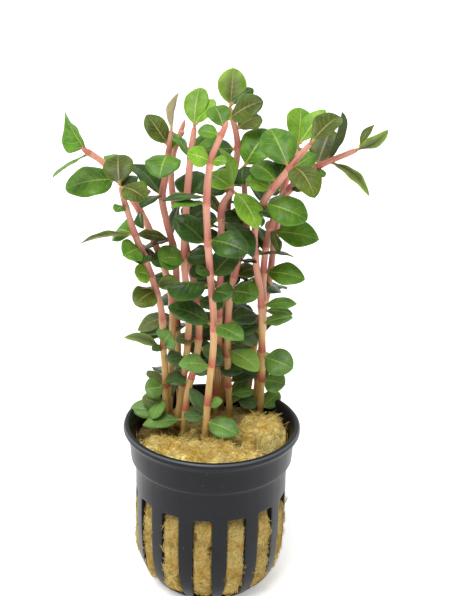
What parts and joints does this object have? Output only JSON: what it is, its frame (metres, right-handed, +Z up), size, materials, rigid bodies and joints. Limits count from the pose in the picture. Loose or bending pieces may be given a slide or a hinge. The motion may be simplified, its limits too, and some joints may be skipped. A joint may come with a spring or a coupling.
{
  "type": "blood red rotala in a net pot",
  "caption": "Bunch of pink-red rooted stems with small opposite green leaves, planted in rockwool in a black slotted net pot that stands on its flat base.",
  "frame": {"origin": "centre of the pot's flat base", "axes": "+Z up along the pot's axis, -Y towards the front of the picture, +X to its right"},
  "size_m": [0.0876, 0.0559, 0.1478],
  "materials": {
    "pot": "satin",
    "wool": "matte",
    "stem": "satin",
    "leaf_light": "satin",
    "leaf_mid": "satin",
    "leaf_dark": "satin",
    "leaf_olive": "satin",
    "leaf_purple": "satin"
  },
  "bodies": {
    "root": {"pot": "pot", "wool_front": "wool", "wool_back": "wool", "stem_01": "stem", "stem_02": "stem", "stem_03": "stem", "stem_04": "stem", "stem_05": "stem", "stem_06": "stem", "stem_07": "stem", "stem_08": "stem", "stem_09": "stem", "stem_10": "stem", "stem_11": "stem", "stem_12": "stem", "leaf_02a": "leaf_mid", "leaf_02b": "leaf_mid", "leaf_02c": "leaf_mid", "leaf_01a": "leaf_olive", "leaf_01b": "leaf_olive", "leaf_01c": "leaf_olive", "leaf_03c": "leaf_olive", "leaf_01e": "leaf_purple", "leaf_03a": "leaf_dark", "leaf_03b": "leaf_mid", "leaf_06i": "leaf_dark", "leaf_04a": "leaf_mid", "leaf_05c": "leaf_mid", "leaf_06j": "leaf_light", "leaf_05e": "leaf_light", "leaf_06a": "leaf_dark", "leaf_06b": "leaf_mid", "leaf_06c": "leaf_mid", "leaf_06d": "leaf_mid", "leaf_06e": "leaf_dark", "leaf_06f": "leaf_dark", "leaf_06g": "leaf_mid", "leaf_06h": "leaf_olive", "leaf_07a": "leaf_purple", "leaf_08c": "leaf_dark", "leaf_08a": "leaf_light", "leaf_08b": "leaf_light", "leaf_09a": "leaf_mid", "leaf_09b": "leaf_light", "leaf_09c": "leaf_mid", "leaf_09d": "leaf_dark", "leaf_10a": "leaf_mid", "leaf_10b": "leaf_mid", "leaf_10c": "leaf_mid", "leaf_10d": "leaf_olive", "leaf_10e": "leaf_mid", "leaf_10f": "leaf_olive", "leaf_10g": "leaf_mid", "leaf_11a": "leaf_mid", "leaf_11b": "leaf_mid", "leaf_11c": "leaf_dark", "leaf_11d": "leaf_purple", "leaf_11e": "leaf_purple", "leaf_11f": "leaf_olive", "leaf_12a": "leaf_light"}
  },
  "joints": []
}
